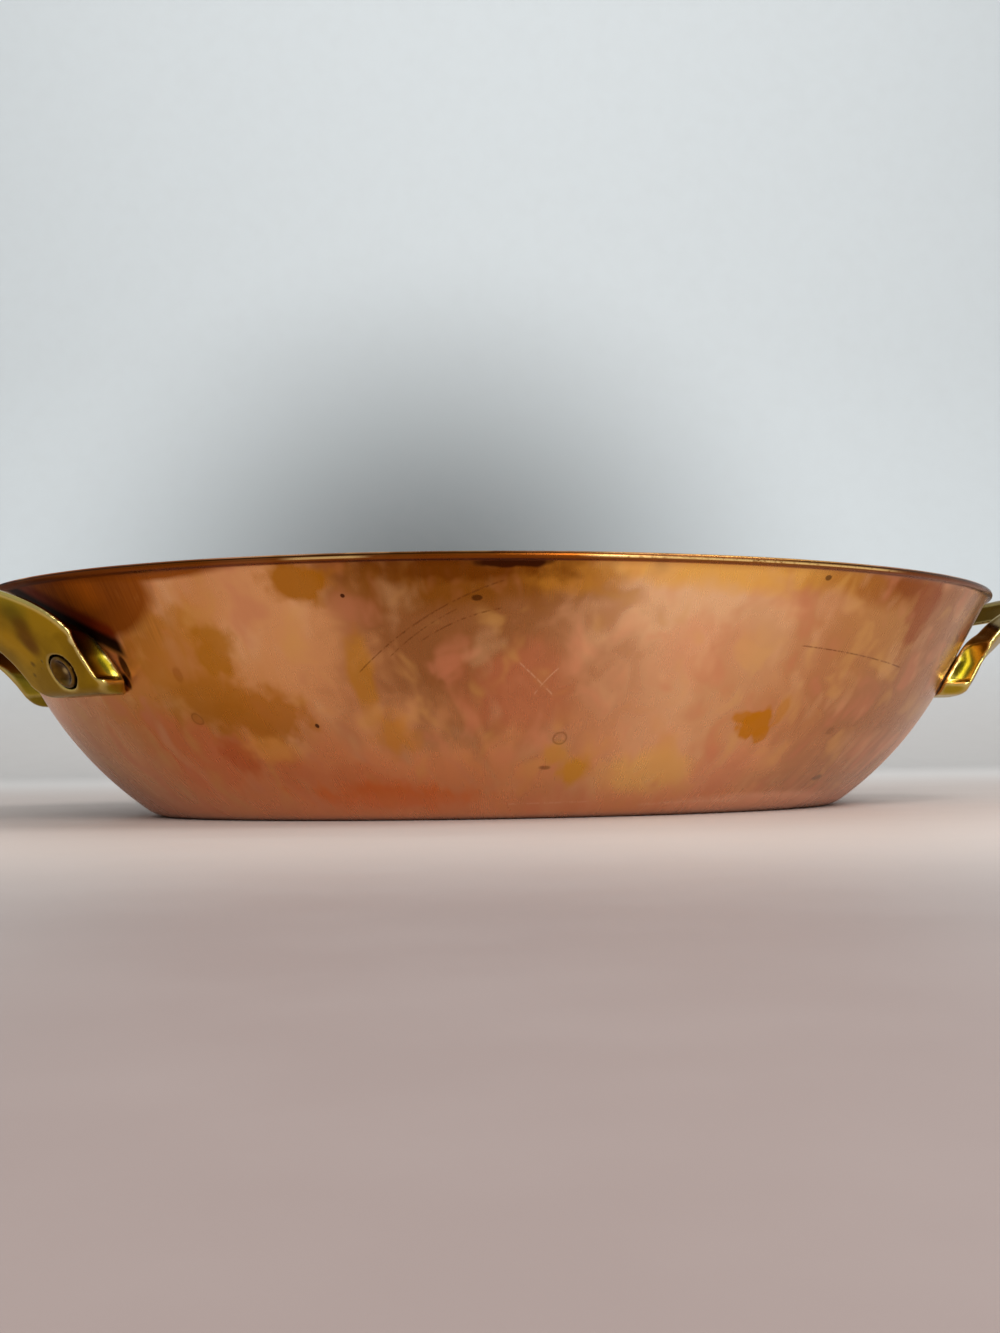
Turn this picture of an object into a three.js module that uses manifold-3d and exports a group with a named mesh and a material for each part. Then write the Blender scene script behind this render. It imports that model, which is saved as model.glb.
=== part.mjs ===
// Oval copper gratin pan with two cast brass loop handles, each held by two rivets.
// Millimetres, +Z up, origin on the table under the middle of the pan, long axis along X.
import * as THREE from 'three';
import { mergeVertices } from 'three/addons/utils/BufferGeometryUtils.js';
import Module from 'manifold-3d';

const wasm = await Module();
wasm.setup();

// Copper shell
const RIM_LENGTH = 240;
const RIM_WIDTH = 198;
const PAN_HEIGHT = 49.3;
const WALL_SLOPE = THREE.MathUtils.degToRad(28.8);
const WALL_CURVE_RADIUS = 82.6;
const BASE_CORNER_RADIUS = 9;
const BASE_CORNER_TURN = THREE.MathUtils.degToRad(36);
const COPPER_THICKNESS = 1.6;
const LIP_OVERHANG = 0.5;
const LIP_EDGE = 1.7;
const LIP_COVE = 0.6;

// Tin lining
const LINING_THICKNESS = 0.5;
const LINING_RIM_DROP = 0.9;

// Handle lugs, measured on the wall from their rivets
const LUG_HEIGHT = 33;
const LUG_SPREAD = 39;
const LUG_THICKNESS = 5.9;
const LUG_BELOW_RIVET = 8.4;
const LUG_OUTER_REACH = 10.6;
const LUG_INNER_REACH = 14.6;
const LUG_CORNER = 3;
const TOE_CORNER = 1;
const TOE_THICKNESS = 3;
const SCOOP_RADIUS = 5.4;
const SCOOP_TOE_REACH = 14.2;
const SCOOP_TOE_OUT = 4.6;
const SCOOP_MIDDLE_REACH = 12.8;
const SCOOP_MIDDLE_OUT = 4.7;
const SCOOP_TOP_REACH = 7.3;
const SCOOP_TOP_OUT = -5.3;

// Handle arms and grip, measured the same way
const SHOULDER_HEIGHT = 9.2;
const SHOULDER_OUTER_REACH = 6.7;
const SHOULDER_INNER_REACH = 16;
const ARM_HEIGHT = 19.4;
const ARM_OUTER_REACH = -2;
const HAUNCH_HEIGHT = 31.5;
const HAUNCH_REACH = -18.5;
const GRIP_INNER_HEIGHT = 27;
const GRIP_WIDTH = 12;
const STRAP_THICKNESS = 4.2;
const EDGE_CHAMFER = 0.9;
const BACK_NARROWING = 4.4;
const BACK_CURVE = 3;
const BEND_ANGLE = THREE.MathUtils.degToRad(30);
const BEND_START = 2.1;
const BEND_BOW = 0.01;
const BEND_SOFTNESS = 20;

// Rivets
const SHANK_RADIUS = 2.6;
const HEAD_RADIUS = 4;
const HEAD_DEPTH = 1.4;
const HEAD_PROUD = 0.25;
const HEAD_CHAMFER = 0.4;
const INNER_HEAD_RADIUS = 4.4;
const INNER_HEAD_HEIGHT = 1.5;

// Fits
const SEAT_GAP = 0.3;
const HOLE_CLEARANCE = 0.3;
const INNER_HEAD_GAP = 0.5;

// Facets
const RING_STEPS = 72;
const CORNER_STEPS = 4;
const CURVE_STEPS = 5;
const LIP_STEPS = 4;
const LUG_STEPS = 4;
const BOW_STEPS = 12;
const FACE_STEPS = 3;
const ROUND_STEPS = 20;
const DOME_STEPS = 4;
const ARC_TABLE_STEPS = 720;

const HALF_LENGTH = RIM_LENGTH / 2;
const HALF_WIDTH = RIM_WIDTH / 2;
const FULL_TURN = 2 * Math.PI;
const QUARTER_TURN = Math.PI / 2;
const WALL_TURN = QUARTER_TURN - WALL_SLOPE;
const CORNER_TOP = BASE_CORNER_RADIUS * (1 - Math.cos(BASE_CORNER_TURN));
const CURVE_TOP = CORNER_TOP + WALL_CURVE_RADIUS * (Math.cos(BASE_CORNER_TURN) - Math.cos(WALL_TURN));
const CORNER_TOP_INSET = LIP_OVERHANG
  + (PAN_HEIGHT - CURVE_TOP) * Math.tan(WALL_SLOPE)
  + WALL_CURVE_RADIUS * (Math.sin(WALL_TURN) - Math.sin(BASE_CORNER_TURN));
const LINING_BACK = COPPER_THICKNESS + SEAT_GAP;
const LINING_FACE = LINING_BACK + LINING_THICKNESS;

const copper = new THREE.MeshStandardMaterial({ color: 0xc07a52, roughness: 0.32, metalness: 1 });
const tin = new THREE.MeshStandardMaterial({ color: 0xb9b8b2, roughness: 0.45, metalness: 1 });
const brass = new THREE.MeshStandardMaterial({ color: 0xb3913f, roughness: 0.25, metalness: 1 });
const rivetBrass = new THREE.MeshStandardMaterial({ color: 0x94763a, roughness: 0.35, metalness: 1 });

// Closed solid through rings of equal length. Each ring turns left, seen with the next ring nearer.
function loft(rings) {
  const count = rings[0].length;
  const points = rings.flat();
  const last = points.length - count;
  const faces = [];
  for (let low = 0; low < last; low += count) {
    const high = low + count;
    for (let step = 0; step < count; step += 1) {
      const next = (step + 1) % count;
      faces.push(low + step, low + next, high + next);
      faces.push(low + step, high + next, high + step);
    }
  }
  for (const [start, isFirst] of [[0, true], [last, false]]) {
    const ring = points.slice(start, start + count);
    const centre = ring.reduce((sum, point) => sum.add(point), new THREE.Vector3()).divideScalar(count);
    const middle = points.push(centre) - 1;
    for (let step = 0; step < count; step += 1) {
      const here = start + step;
      const next = start + ((step + 1) % count);
      faces.push(middle, ...(isFirst ? [next, here] : [here, next]));
    }
  }
  const geometry = new THREE.BufferGeometry().setFromPoints(points);
  geometry.setIndex(faces);
  return geometry;
}

function solid(geometry) {
  const bare = geometry.clone();
  bare.deleteAttribute('normal');
  bare.deleteAttribute('uv');
  const merged = mergeVertices(bare);
  return new wasm.Manifold(new wasm.Mesh({
    numProp: 3,
    vertProperties: new Float32Array(merged.attributes.position.array),
    triVerts: new Uint32Array(merged.index.array),
  }));
}

function surface(body) {
  const mesh = body.getMesh();
  const geometry = new THREE.BufferGeometry();
  geometry.setAttribute('position', new THREE.BufferAttribute(mesh.vertProperties, 3));
  geometry.setIndex(new THREE.BufferAttribute(mesh.triVerts, 1));
  geometry.computeVertexNormals();
  return geometry;
}

// Unit vector square to the rim's outline, in plan.
function outward(angle) {
  return new THREE.Vector3(Math.cos(angle) / HALF_LENGTH, Math.sin(angle) / HALF_WIDTH, 0).normalize();
}

// Point a given distance inside the rim's outline, at a given height.
function insetPoint(angle, inset, height) {
  const rim = new THREE.Vector3(HALF_LENGTH * Math.cos(angle), HALF_WIDTH * Math.sin(angle), height);
  return rim.addScaledVector(outward(angle), -inset);
}

function insetRing([inset, height]) {
  return Array.from({ length: RING_STEPS }, (_, step) => {
    return insetPoint((step / RING_STEPS) * FULL_TURN, inset, height);
  });
}

// Inset and height of the wall that lies a depth inside the outer face, from the base up to a height.
function wallProfile(depth, top) {
  const arc = (radius, start, end, steps) => Array.from({ length: steps + 1 }, (_, step) => {
    const turn = THREE.MathUtils.lerp(start, end, step / steps);
    const middleInset = CORNER_TOP_INSET + radius * Math.sin(BASE_CORNER_TURN);
    const middleHeight = CORNER_TOP + radius * Math.cos(BASE_CORNER_TURN);
    const reach = radius - depth;
    return [middleInset - reach * Math.sin(turn), middleHeight - reach * Math.cos(turn)];
  });
  const corner = arc(BASE_CORNER_RADIUS, 0, BASE_CORNER_TURN, CORNER_STEPS);
  const curve = arc(WALL_CURVE_RADIUS, BASE_CORNER_TURN, WALL_TURN, CURVE_STEPS);
  const [inset, height] = curve[CURVE_STEPS];
  const rim = [inset - (top - height) * Math.tan(WALL_SLOPE), top];
  return [...corner, ...curve.slice(1), rim];
}

// Rounded edge of the out-turned lip, from its underside to its top.
function lipProfile() {
  const radius = LIP_EDGE / 2;
  return Array.from({ length: LIP_STEPS + 1 }, (_, step) => {
    const turn = (Math.PI * step) / LIP_STEPS - QUARTER_TURN;
    return [radius - radius * Math.cos(turn), PAN_HEIGHT - radius + radius * Math.sin(turn)];
  });
}

function panShell() {
  const outside = wallProfile(0, PAN_HEIGHT - LIP_EDGE - LIP_COVE);
  const inside = wallProfile(COPPER_THICKNESS, PAN_HEIGHT).reverse();
  return loft([...outside, ...lipProfile(), ...inside].map(insetRing));
}

function liningShell() {
  const top = PAN_HEIGHT - LINING_RIM_DROP;
  const back = wallProfile(LINING_BACK, top);
  const face = wallProfile(LINING_FACE, top).reverse();
  return loft([...back, ...face].map(insetRing));
}

// How far inside the rim's outline the wall's outer face lies at the lugs.
const LUG_INSET = LIP_OVERHANG + (PAN_HEIGHT - LUG_HEIGHT) * Math.tan(WALL_SLOPE);

// The wall's outer face at the height of the lugs, as a curve that starts at the pan's right end.
class LugRing extends THREE.Curve {
  getPoint(share, target = new THREE.Vector3()) {
    return target.copy(insetPoint(share * FULL_TURN, LUG_INSET, LUG_HEIGHT));
  }
}
const lugRing = new LugRing();
lugRing.arcLengthDivisions = ARC_TABLE_STEPS;

// Place at the right end: along the wall from the pan's axis, up its slope from the rivets, out of it.
function onWall(along, up, out) {
  const angle = Math.sign(along) * lugRing.getUtoTmapping(0, Math.abs(along)) * FULL_TURN;
  const reach = up * Math.sin(WALL_SLOPE) + out * Math.cos(WALL_SLOPE);
  const rise = up * Math.cos(WALL_SLOPE) - out * Math.sin(WALL_SLOPE);
  return insetPoint(angle, LUG_INSET - reach, LUG_HEIGHT + rise);
}

// How far the handle has bent away from the wall at a place on its face.
function bendRise(along, up) {
  const past = up - BEND_START - BEND_BOW * along * along;
  const slope = Math.tan(BEND_ANGLE);
  if (past <= -BEND_SOFTNESS) return 0;
  if (past >= BEND_SOFTNESS) return past * slope;
  return ((past + BEND_SOFTNESS) ** 2 / (4 * BEND_SOFTNESS)) * slope;
}

// Outer and inner edges of half the handle, from the foot of its lug to the middle of its grip.
function strapEdges() {
  const foot = -LUG_BELOW_RIVET;
  const ankle = foot + LUG_CORNER;
  const steps = LUG_STEPS + BOW_STEPS;
  const climb = [
    new THREE.Vector2(LUG_SPREAD + LUG_OUTER_REACH, ankle),
    new THREE.Vector2(LUG_SPREAD + SHOULDER_OUTER_REACH, SHOULDER_HEIGHT),
    new THREE.Vector2(LUG_SPREAD + ARM_OUTER_REACH, ARM_HEIGHT),
    new THREE.Vector2(LUG_SPREAD + HAUNCH_REACH, HAUNCH_HEIGHT),
  ];
  const crown = new THREE.Vector2(0, GRIP_INNER_HEIGHT + GRIP_WIDTH);
  const descent = climb.toReversed().map((point) => new THREE.Vector2(-point.x, point.y));
  const outline = new THREE.SplineCurve([...climb, crown, ...descent]);
  const innerAnkle = new THREE.Vector2(LUG_SPREAD - LUG_INNER_REACH, ankle);
  const throat = new THREE.Vector2(LUG_SPREAD - SHOULDER_INNER_REACH, SHOULDER_HEIGHT);
  const arch = new THREE.EllipseCurve(0, throat.y, throat.x, GRIP_INNER_HEIGHT - throat.y, 0, QUARTER_TURN);
  const outer = [
    new THREE.Vector2(LUG_SPREAD + LUG_OUTER_REACH - TOE_CORNER, foot),
    ...outline.getPoints(2 * steps).slice(0, steps + 1),
  ];
  const inner = [
    new THREE.Vector2(LUG_SPREAD - LUG_INNER_REACH + LUG_CORNER, foot),
    ...new THREE.LineCurve(innerAnkle, throat).getPoints(LUG_STEPS),
    ...arch.getPoints(BOW_STEPS).slice(1),
  ];
  return outer.map((point, station) => [point, inner[station]]);
}

// Section across the strap: edges chamfered, back narrower than face, most of all at the shoulder.
// The lug's foot lies level with the table.
function strapSection([outer, inner], side) {
  const width = outer.distanceTo(inner);
  const climb = THREE.MathUtils.inverseLerp(-LUG_BELOW_RIVET, SHOULDER_HEIGHT, outer.y);
  const share = THREE.MathUtils.clamp(climb, 0, 1);
  const lean = (1 - share) * Math.tan(WALL_SLOPE);
  const narrowing = (BACK_NARROWING * share ** BACK_CURVE) / width;
  const pad = LUG_THICKNESS - SEAT_GAP - STRAP_THICKNESS / Math.cos(BEND_ANGLE);
  const place = (way, onFace, edge) => {
    const spot = outer.clone().lerp(inner, way);
    const rise = bendRise(spot.x, spot.y);
    const face = LUG_THICKNESS + rise - edge;
    const back = SEAT_GAP + rise + Math.min(rise, pad) + edge;
    const out = onFace ? face : back;
    return onWall(side * spot.x, spot.y + out * lean, out);
  };
  const across = (margin) => Array.from({ length: FACE_STEPS + 1 }, (_, step) => {
    return THREE.MathUtils.lerp(margin, 1 - margin, step / FACE_STEPS);
  });
  const chamfer = EDGE_CHAMFER / width;
  return [
    ...across(chamfer).reverse().map((way) => place(way, true, 0)),
    place(0, true, EDGE_CHAMFER),
    place(narrowing, false, EDGE_CHAMFER),
    ...across(narrowing + chamfer).map((way) => place(way, false, 0)),
    place(1 - narrowing, false, EDGE_CHAMFER),
    place(1, true, EDGE_CHAMFER),
  ];
}

function strap() {
  const stations = strapEdges();
  const upward = stations.map((station) => strapSection(station, 1));
  const downward = stations.slice(0, -1).reverse().map((station) => strapSection(station, -1));
  return loft([...upward, ...downward]);
}

// Hollow scooped out of the lug's outer end above its toe, level with the table at top and bottom.
function scoop(side) {
  const toe = TOE_THICKNESS / Math.cos(WALL_SLOPE) - LUG_BELOW_RIVET;
  const levels = [
    [SCOOP_TOE_REACH, toe, SCOOP_TOE_OUT],
    [SCOOP_MIDDLE_REACH, 0, SCOOP_MIDDLE_OUT],
    [SCOOP_TOP_REACH, ARM_HEIGHT, SCOOP_TOP_OUT],
  ];
  return loft(levels.map(([reach, up, middle]) => {
    return Array.from({ length: ROUND_STEPS }, (_, step) => {
      const turn = (step / ROUND_STEPS) * FULL_TURN;
      const along = side * (LUG_SPREAD + reach) + SCOOP_RADIUS * Math.sin(turn);
      const out = middle + SCOOP_RADIUS * Math.cos(turn);
      return onWall(along, up + out * Math.tan(WALL_SLOPE), out);
    });
  }));
}

// Frame of a rivet: its origin on the wall's outer face, its Y axis square out of the wall.
function rivetFrame(side) {
  const seat = onWall(side * LUG_SPREAD, 0, 0);
  const axis = onWall(side * LUG_SPREAD, 0, 1).sub(seat);
  const turn = new THREE.Quaternion().setFromUnitVectors(new THREE.Vector3(0, 1, 0), axis);
  return new THREE.Matrix4().compose(seat, turn, new THREE.Vector3(1, 1, 1));
}

function rod(radius, length, middle) {
  return new THREE.CylinderGeometry(radius, radius, length, ROUND_STEPS).translate(0, middle, 0);
}

function drill(side) {
  const length = 2 * (LUG_THICKNESS + LINING_FACE);
  return rod(SHANK_RADIUS + HOLE_CLEARANCE, length, 0).applyMatrix4(rivetFrame(side));
}

function counterbore(side) {
  const pocket = rod(HEAD_RADIUS + HOLE_CLEARANCE, 2 * HEAD_DEPTH, LUG_THICKNESS);
  return pocket.applyMatrix4(rivetFrame(side));
}

function cut(body, tools) {
  return tools.reduce((rest, tool) => rest.subtract(solid(tool)), body);
}

// Rivet turned about its axis: low dome inside the pan, shank, flat head in the lug's counterbore.
function rivet() {
  const innerSeat = -LINING_FACE - INNER_HEAD_GAP;
  const outerSeat = LUG_THICKNESS - HEAD_DEPTH + SEAT_GAP;
  const top = LUG_THICKNESS + HEAD_PROUD;
  const profile = Array.from({ length: DOME_STEPS + 1 }, (_, step) => {
    const turn = (QUARTER_TURN * step) / DOME_STEPS;
    const height = innerSeat - INNER_HEAD_HEIGHT * Math.cos(turn);
    return new THREE.Vector2(INNER_HEAD_RADIUS * Math.sin(turn), height);
  });
  profile.push(new THREE.Vector2(SHANK_RADIUS, innerSeat));
  profile.push(new THREE.Vector2(SHANK_RADIUS, outerSeat));
  profile.push(new THREE.Vector2(HEAD_RADIUS, outerSeat));
  profile.push(new THREE.Vector2(HEAD_RADIUS, top - HEAD_CHAMFER));
  profile.push(new THREE.Vector2(HEAD_RADIUS - HEAD_CHAMFER, top));
  profile.push(new THREE.Vector2(0, top));
  return new THREE.LatheGeometry(profile, ROUND_STEPS);
}

const SIDES = [1, -1];
const ENDS = [
  { name: 'right', turn: 0 },
  { name: 'left', turn: Math.PI },
];

const drills = ENDS.flatMap(({ turn }) => SIDES.map((side) => drill(side).rotateZ(turn)));
const handleTools = SIDES.flatMap((side) => [scoop(side), drill(side), counterbore(side)]);
const handleShape = surface(cut(solid(strap()), handleTools));
const rivetShape = rivet();

const pan = new THREE.Group();

function addPiece(group, name, geometry, material) {
  const piece = new THREE.Mesh(geometry, material);
  piece.name = name;
  group.add(piece);
  return piece;
}

addPiece(pan, 'pan_body', surface(cut(solid(panShell()), drills)), copper);
addPiece(pan, 'tin_lining', surface(cut(solid(liningShell()), drills)), tin);

for (const { name, turn } of ENDS) {
  const end = new THREE.Group();
  end.rotation.z = turn;
  pan.add(end);
  addPiece(end, `${name}_handle`, handleShape, brass);
  for (const side of SIDES) {
    const facesBack = side * Math.cos(turn) > 0;
    const piece = addPiece(end, `${name}_${facesBack ? 'back' : 'front'}_rivet`, rivetShape, rivetBrass);
    piece.applyMatrix4(rivetFrame(side));
  }
}

export default pan;
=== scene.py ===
# %% [markdown]
# # An oval copper gratin pan
# The real pan is a sheet of copper pressed into an oval dish, wiped with tin inside, with a cast brass loop
# riveted to each end. The solid parts already exist and set every size here. This lesson makes the visible
# surfaces over them: a shell, a lining, two handles and four rivets, with a finish for each metal.

# %% Load the solid parts
from math import cos, pi, radians, sin, tan, tau

import bmesh
import bpy
import numpy as np
from mathutils import Matrix, Vector


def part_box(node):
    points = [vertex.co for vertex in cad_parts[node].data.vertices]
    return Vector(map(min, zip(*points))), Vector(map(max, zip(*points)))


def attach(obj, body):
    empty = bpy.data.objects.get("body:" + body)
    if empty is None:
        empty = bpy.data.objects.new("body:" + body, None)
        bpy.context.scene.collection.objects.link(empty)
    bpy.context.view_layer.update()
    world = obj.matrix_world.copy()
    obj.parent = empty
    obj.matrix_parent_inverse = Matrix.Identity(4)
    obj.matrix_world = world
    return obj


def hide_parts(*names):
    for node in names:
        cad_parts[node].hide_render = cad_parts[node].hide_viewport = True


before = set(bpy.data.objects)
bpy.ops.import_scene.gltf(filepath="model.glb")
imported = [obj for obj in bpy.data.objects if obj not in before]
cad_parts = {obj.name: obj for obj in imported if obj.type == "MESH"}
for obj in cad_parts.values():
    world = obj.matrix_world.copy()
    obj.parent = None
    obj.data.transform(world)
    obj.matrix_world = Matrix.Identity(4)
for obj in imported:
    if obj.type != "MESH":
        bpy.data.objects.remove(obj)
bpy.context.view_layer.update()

scene = bpy.context.scene

print("solid parts:", sorted(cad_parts))

# %% [markdown]
# The pan's outline is an ellipse, and every ring of the wall lies a fixed distance inside it, as on a dish
# that is pressed over one former. Sizes are in metres. The rim is measured from the solid shell, and the
# slopes and radii repeat those of the solid parts.

# %% Sizes of the shell
MM = 0.001
pan_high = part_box("pan_body")[1]
HALF_LENGTH = pan_high.x
HALF_WIDTH = pan_high.y
PAN_HEIGHT = pan_high.z
WALL_SLOPE = radians(28.8)
WALL_CURVE_RADIUS = 82.6 * MM
BASE_CORNER_RADIUS = 9 * MM
BASE_CORNER_TURN = radians(36)
COPPER_THICKNESS = 1.6 * MM
LIP_OVERHANG = 0.5 * MM
LIP_EDGE = 1.5 * MM
LIP_COVE = 0.3 * MM
WALL_TURN = pi / 2 - WALL_SLOPE
CORNER_TOP = BASE_CORNER_RADIUS * (1 - cos(BASE_CORNER_TURN))
CURVE_TOP = CORNER_TOP + WALL_CURVE_RADIUS * (cos(BASE_CORNER_TURN) - cos(WALL_TURN))
CORNER_TOP_INSET = (
    LIP_OVERHANG
    + (PAN_HEIGHT - CURVE_TOP) * tan(WALL_SLOPE)
    + WALL_CURVE_RADIUS * (sin(WALL_TURN) - sin(BASE_CORNER_TURN))
)
BASE_INSET = CORNER_TOP_INSET + BASE_CORNER_RADIUS * sin(BASE_CORNER_TURN)


def inset_point(turn, inset, height):
    """Points a distance inside the rim's outline, for arrays of turns, insets and heights."""
    way = np.stack([np.cos(turn) / HALF_LENGTH, np.sin(turn) / HALF_WIDTH], axis=-1)
    way = way / np.linalg.norm(way, axis=-1, keepdims=True)
    x = HALF_LENGTH * np.cos(turn) - inset * way[..., 0]
    y = HALF_WIDTH * np.sin(turn) - inset * way[..., 1]
    return np.stack([x, y, height + 0 * x], axis=-1)


print(f"rim {2 * HALF_LENGTH / MM:.0f} by {2 * HALF_WIDTH / MM:.0f} mm, base inset {BASE_INSET / MM:.1f} mm")

# %% [markdown]
# The viewpoint is low, a finger's width above the table, so the wall is seen from below its rim. The
# camera's three axes are worked out from its yaw, pitch and roll and set as one matrix, which avoids
# guessing Euler angles.

# %% Camera
IMAGE_HEIGHT = 1333
FOCAL_PIXELS = 1549
YAW = radians(-18.514)
PITCH = radians(3.267)
ROLL = radians(-0.734)
DISTANCE = 374.41 * MM
SIDE_STEP = -1.0 * MM
EYE_HEIGHT = 12.93 * MM
SENSOR_WIDTH = 36
NEAREST_SEEN = 5 * MM

level_right = Vector((cos(YAW), sin(YAW), 0))
level_ahead = Vector((-sin(YAW), cos(YAW), 0))
straight_up = Vector((0, 0, 1))
eye = level_right * SIDE_STEP - level_ahead * DISTANCE + straight_up * EYE_HEIGHT
ahead = level_ahead * cos(PITCH) + straight_up * sin(PITCH)
pitched_up = straight_up * cos(PITCH) - level_ahead * sin(PITCH)
camera_right = level_right * cos(ROLL) + pitched_up * sin(ROLL)
camera_up = pitched_up * cos(ROLL) - level_right * sin(ROLL)


def new_object(name, data):
    """An object in the scene that shows a mesh, a lamp or a camera."""
    piece = bpy.data.objects.new(name, data)
    scene.collection.objects.link(piece)
    return piece


camera = new_object("camera", bpy.data.cameras.new("camera"))
camera.data.sensor_width = SENSOR_WIDTH
camera.data.lens = FOCAL_PIXELS * SENSOR_WIDTH / IMAGE_HEIGHT
camera.data.clip_start = NEAREST_SEEN
turned = Matrix((camera_right, camera_up, -ahead)).transposed()
camera.matrix_world = Matrix.Translation(eye) @ turned.to_4x4()
scene.camera = camera
scene.view_settings.view_transform = "Standard"
print(f"camera lens {camera.data.lens:.1f} mm at", [round(value / MM) for value in eye])

# %% [markdown]
# Node trees are easier to read as sums than as lists of links. One small class stands for a socket: adding,
# multiplying or dividing two of them puts a Math node in the tree. Every other kind of node comes from the
# one method `add`, which takes its type, values or links for its sockets, and then its settings.

# %% Nodes as expressions
class Wire:
    """An output socket. Sums of wires become Math nodes."""

    def __init__(self, bench, socket):
        self.bench = bench
        self.socket = socket

    def __getitem__(self, name):
        return Wire(self.bench, self.socket.node.outputs[name])

    def __add__(self, other):
        return self.bench.math("ADD", self, other)

    def __sub__(self, other):
        return self.bench.math("SUBTRACT", self, other)

    def __rsub__(self, other):
        return self.bench.math("SUBTRACT", other, self)

    def __mul__(self, other):
        return self.bench.math("MULTIPLY", self, other)

    def __truediv__(self, other):
        return self.bench.math("DIVIDE", self, other)

    __radd__ = __add__
    __rmul__ = __mul__


class Bench:
    """A node tree, with one way to put a node in it."""

    def __init__(self, tree):
        self.tree = tree

    def add(self, kind, sockets=None, **settings):
        node = self.tree.nodes.new(kind)
        for name, value in settings.items():
            setattr(node, name, value)
        for name, value in (sockets or {}).items():
            if isinstance(value, Wire):
                self.tree.links.new(value.socket, node.inputs[name])
            else:
                node.inputs[name].default_value = value
        return Wire(self, node.outputs[0]) if node.outputs else node

    def math(self, operation, *values):
        return self.add("ShaderNodeMath", dict(enumerate(values)), operation=operation)

    def split(self, vector):
        parts = self.add("ShaderNodeSeparateXYZ", {0: vector})
        return parts["X"], parts["Y"], parts["Z"]

    def join(self, x, y, z):
        return self.add("ShaderNodeCombineXYZ", {0: x, 1: y, 2: z})


print("node helpers ready")

# %% [markdown]
# ## Turning a wall from a profile
# A pressed dish is one profile carried round an outline. A lathe modifier makes only round dishes, so a
# Geometry Nodes tree does it: each row of a grid takes a point of the profile, each column a step round the
# ellipse, and merging closes the seam. A profile point holds its distance inside the rim as X, its height
# as Z, and in Y how far it has run in towards the middle.

# %% The turned wall tree
def start_tree(name, **inputs):
    """A Geometry Nodes tree and its input node. Each input is given with the kind of its socket."""
    tree = bpy.data.node_groups.new(name, "GeometryNodeTree")
    for label, kind in {"Geometry": "Geometry", **inputs, "Finish": "Material"}.items():
        tree.interface.new_socket(label, in_out="INPUT", socket_type="NodeSocket" + kind)
    tree.interface.new_socket("Geometry", in_out="OUTPUT", socket_type="NodeSocketGeometry")
    bench = Bench(tree)
    return bench, bench.add("NodeGroupInput")


def end_tree(bench, geometry, finish):
    real = bench.add("GeometryNodeRealizeInstances", {"Geometry": geometry})
    dressed = bench.add("GeometryNodeSetMaterial", {"Geometry": real, "Material": finish})
    bench.add("NodeGroupOutput", {"Geometry": dressed})
    return bench.tree


def turned_wall_tree():
    bench, given = start_tree("turned wall", Length="Float", Width="Float", Steps="Int")
    length, width = given["Length"], given["Width"]
    rows = bench.add("GeometryNodeAttributeDomainSize", {0: given["Geometry"]})["Point Count"]
    grid = bench.add("GeometryNodeMeshGrid", {"Vertices X": given["Steps"] + 1, "Vertices Y": rows})
    across, down, _ = bench.split(bench.add("GeometryNodeInputPosition"))
    row = bench.math("ROUND", (down + 0.5) * (rows - 1))
    point = bench.add("GeometryNodeSampleIndex", {
        "Geometry": given["Geometry"], "Value": bench.add("GeometryNodeInputPosition"), "Index": row,
    }, data_type="FLOAT_VECTOR")
    inset, run_in, height = bench.split(point)
    angle = (across + 0.5) * tau
    cosine, sine = bench.math("COSINE", angle), bench.math("SINE", angle)
    way_x, way_y = cosine / length, sine / width
    size = bench.math("SQRT", way_x * way_x + way_y * way_y)
    x = (cosine * length - inset * way_x / size) * (1 - run_in)
    y = (sine * width - inset * way_y / size) * (1 - run_in)
    placed = bench.add("GeometryNodeSetPosition", {
        "Geometry": grid["Mesh"], "Position": bench.join(x, y, height),
    })
    closed = bench.add("GeometryNodeMergeByDistance", {"Geometry": placed, "Distance": 1e-6})
    return end_tree(bench, closed, given["Finish"])


TURNED_WALL = turned_wall_tree()
print("made the tree", TURNED_WALL.name)

# %% [markdown]
# A tree's result lasts as long as its modifier. As a plain mesh it can be measured, and it can store
# values.

# %% From a tree to a plain mesh
def mesh_object(name, points, faces=()):
    mesh = bpy.data.meshes.new(name)
    mesh.from_pydata([tuple(point) for point in points], [], faces)
    return new_object(name, mesh)


def modified_mesh(piece):
    graph = bpy.context.evaluated_depsgraph_get()
    return bpy.data.meshes.new_from_object(piece.evaluated_get(graph), depsgraph=graph)


def run_tree(piece, tree, values):
    """Set the tree's inputs by identifier, take the result as a plain mesh and drop the modifier."""
    inputs = [item for item in tree.interface.items_tree if item.in_out == "INPUT"]
    identifiers = {item.name: item.identifier for item in inputs}
    modifier = piece.modifiers.new(tree.name, "NODES")
    modifier.node_group = tree
    for label, value in values.items():
        modifier[identifiers[label]] = value
    made = modified_mesh(piece)
    piece.modifiers.remove(modifier)
    piece.data = made


def face_outward(mesh):
    shell = bmesh.new()
    shell.from_mesh(mesh)
    bmesh.ops.recalc_face_normals(shell, faces=shell.faces)
    if shell.calc_volume(signed=True) < 0:
        bmesh.ops.reverse_faces(shell, faces=shell.faces)
    shell.to_mesh(mesh)
    shell.free()
    mesh.shade_smooth()


def report(piece):
    print(f"{piece.name}: {len(piece.data.vertices)} points, {len(piece.data.polygons)} faces")


def turn_piece(name, profile, half_length, half_width, steps, finish):
    """A piece whose profile is carried round an ellipse in a number of steps."""
    piece = mesh_object(name, profile)
    values = {"Length": half_length, "Width": half_width, "Steps": steps, "Finish": finish}
    run_tree(piece, TURNED_WALL, values)
    face_outward(piece.data)
    report(piece)
    return piece


print("mesh helpers ready")

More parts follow.
